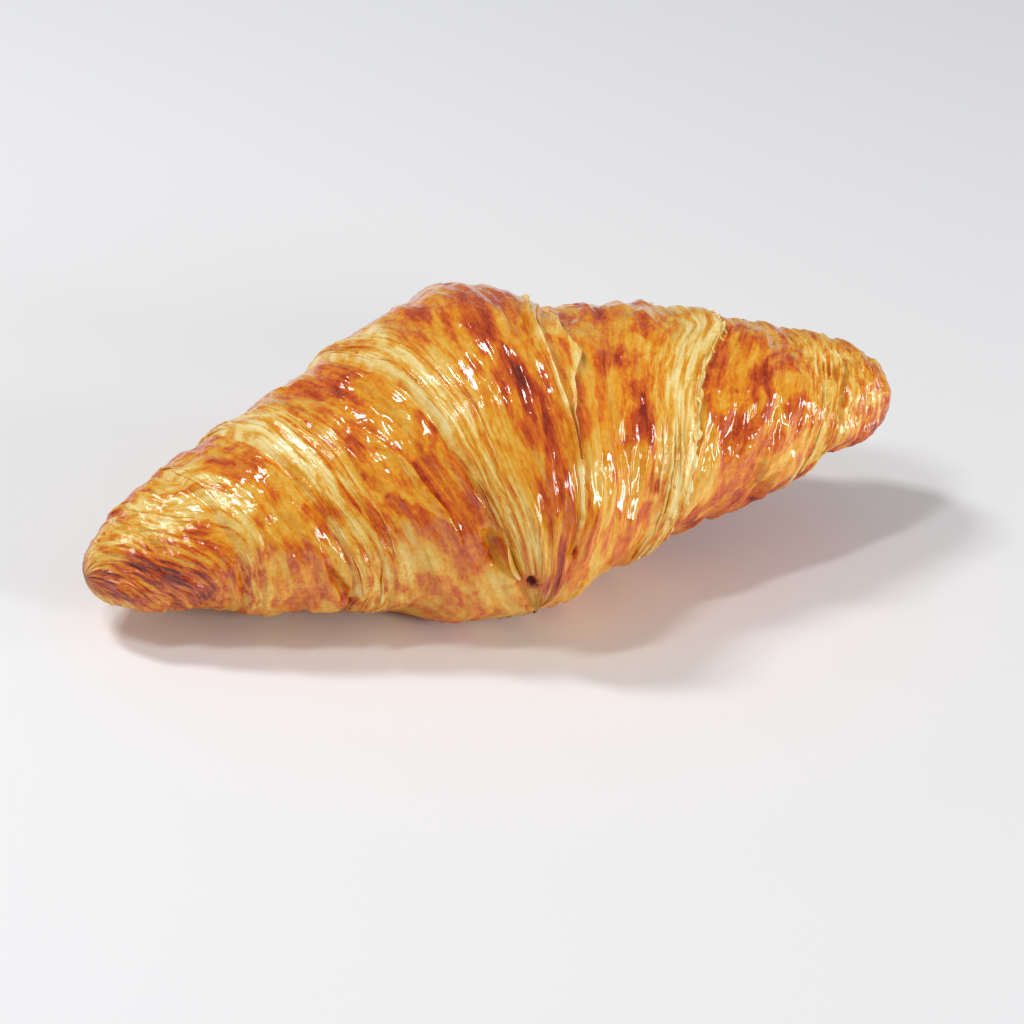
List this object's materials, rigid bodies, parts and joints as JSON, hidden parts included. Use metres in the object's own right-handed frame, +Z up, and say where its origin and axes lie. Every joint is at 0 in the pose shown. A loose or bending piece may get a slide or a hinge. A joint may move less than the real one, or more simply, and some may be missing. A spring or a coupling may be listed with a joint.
{
  "type": "croissant",
  "caption": "Straight butter croissant: a rolled, layered dough body with stepped spiral wraps, a fat middle, tapered ends and a flat base.",
  "frame": {"origin": "middle of the flat base that it rests on, under the middle of its bounding box", "axes": "+X along the roll towards the blunter end that stands clear of the table, +Y to the back, +Z up; the rolled point is tucked under the front, -Y"},
  "size_m": [0.16, 0.0733, 0.0546],
  "materials": {
    "crust": "egg-washed crust baked golden to red brown and glossy, with pale yellow layered edges"
  },
  "bodies": {
    "root": {"croissant": "crust"}
  },
  "joints": []
}
